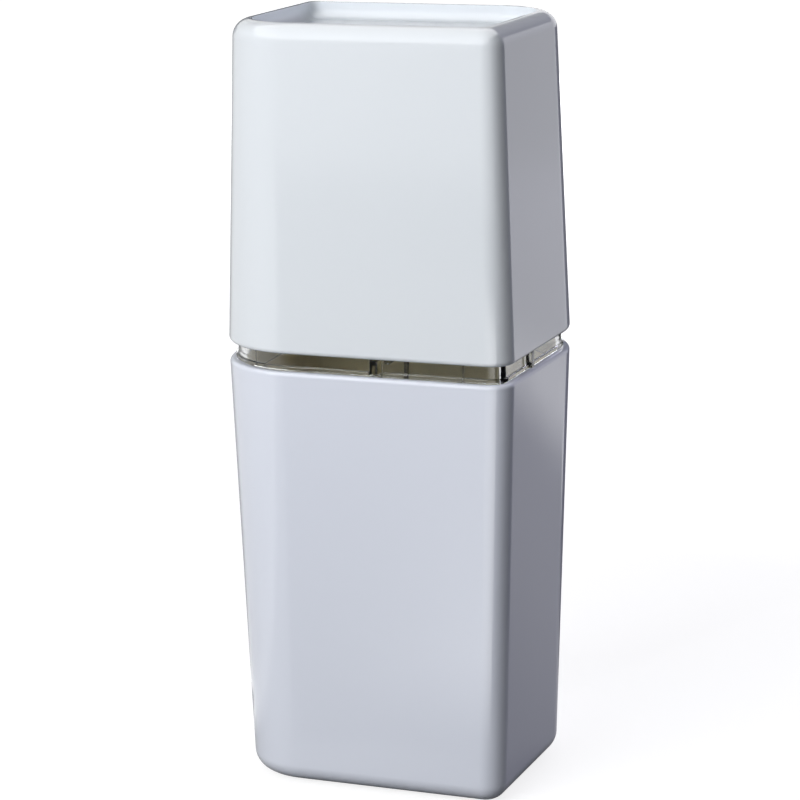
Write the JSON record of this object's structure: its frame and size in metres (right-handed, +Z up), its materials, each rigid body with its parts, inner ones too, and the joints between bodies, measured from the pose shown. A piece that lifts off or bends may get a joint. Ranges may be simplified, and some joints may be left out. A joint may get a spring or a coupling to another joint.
{
  "type": "toothbrush holder",
  "caption": "Upright toothbrush case: tapered white stand, clear collar with a cross divider, and a lift-off rinsing tumbler as its cover.",
  "frame": {"origin": "centre of the case on the surface that it stands on", "axes": "+Z up, -Y towards the front, which the picture shows on the left, and +X to the right seen from the front"},
  "size_m": [0.0836, 0.0702, 0.2005],
  "materials": {
    "stand_white": "glossy white moulded plastic",
    "tumbler_white": "glossy white moulded plastic",
    "collar_clear": "clear polished plastic",
    "divider_clear": "clear polished plastic",
    "pad_grey": "matt soft pad"
  },
  "bodies": {
    "stand": {"stand_body": "stand_white", "foot_pad_front_left": "pad_grey", "foot_pad_front_right": "pad_grey", "foot_pad_back_left": "pad_grey", "foot_pad_back_right": "pad_grey"},
    "collar": {"collar": "collar_clear"},
    "divider": {"divider": "divider_clear"},
    "tumbler": {"tumbler": "tumbler_white"}
  },
  "joints": [
    {"name": "collar_lift", "type": "slide", "parent": "stand", "child": "collar", "axis": [0, 0, 1], "range_m": [0, 0.06]},
    {"name": "divider_lift", "type": "slide", "parent": "collar", "child": "divider", "axis": [0, 0, 1], "range_m": [0, 0.065]},
    {"name": "tumbler_lift", "type": "slide", "parent": "divider", "child": "tumbler", "axis": [0, 0, 1], "range_m": [0, 0.08]}
  ]
}
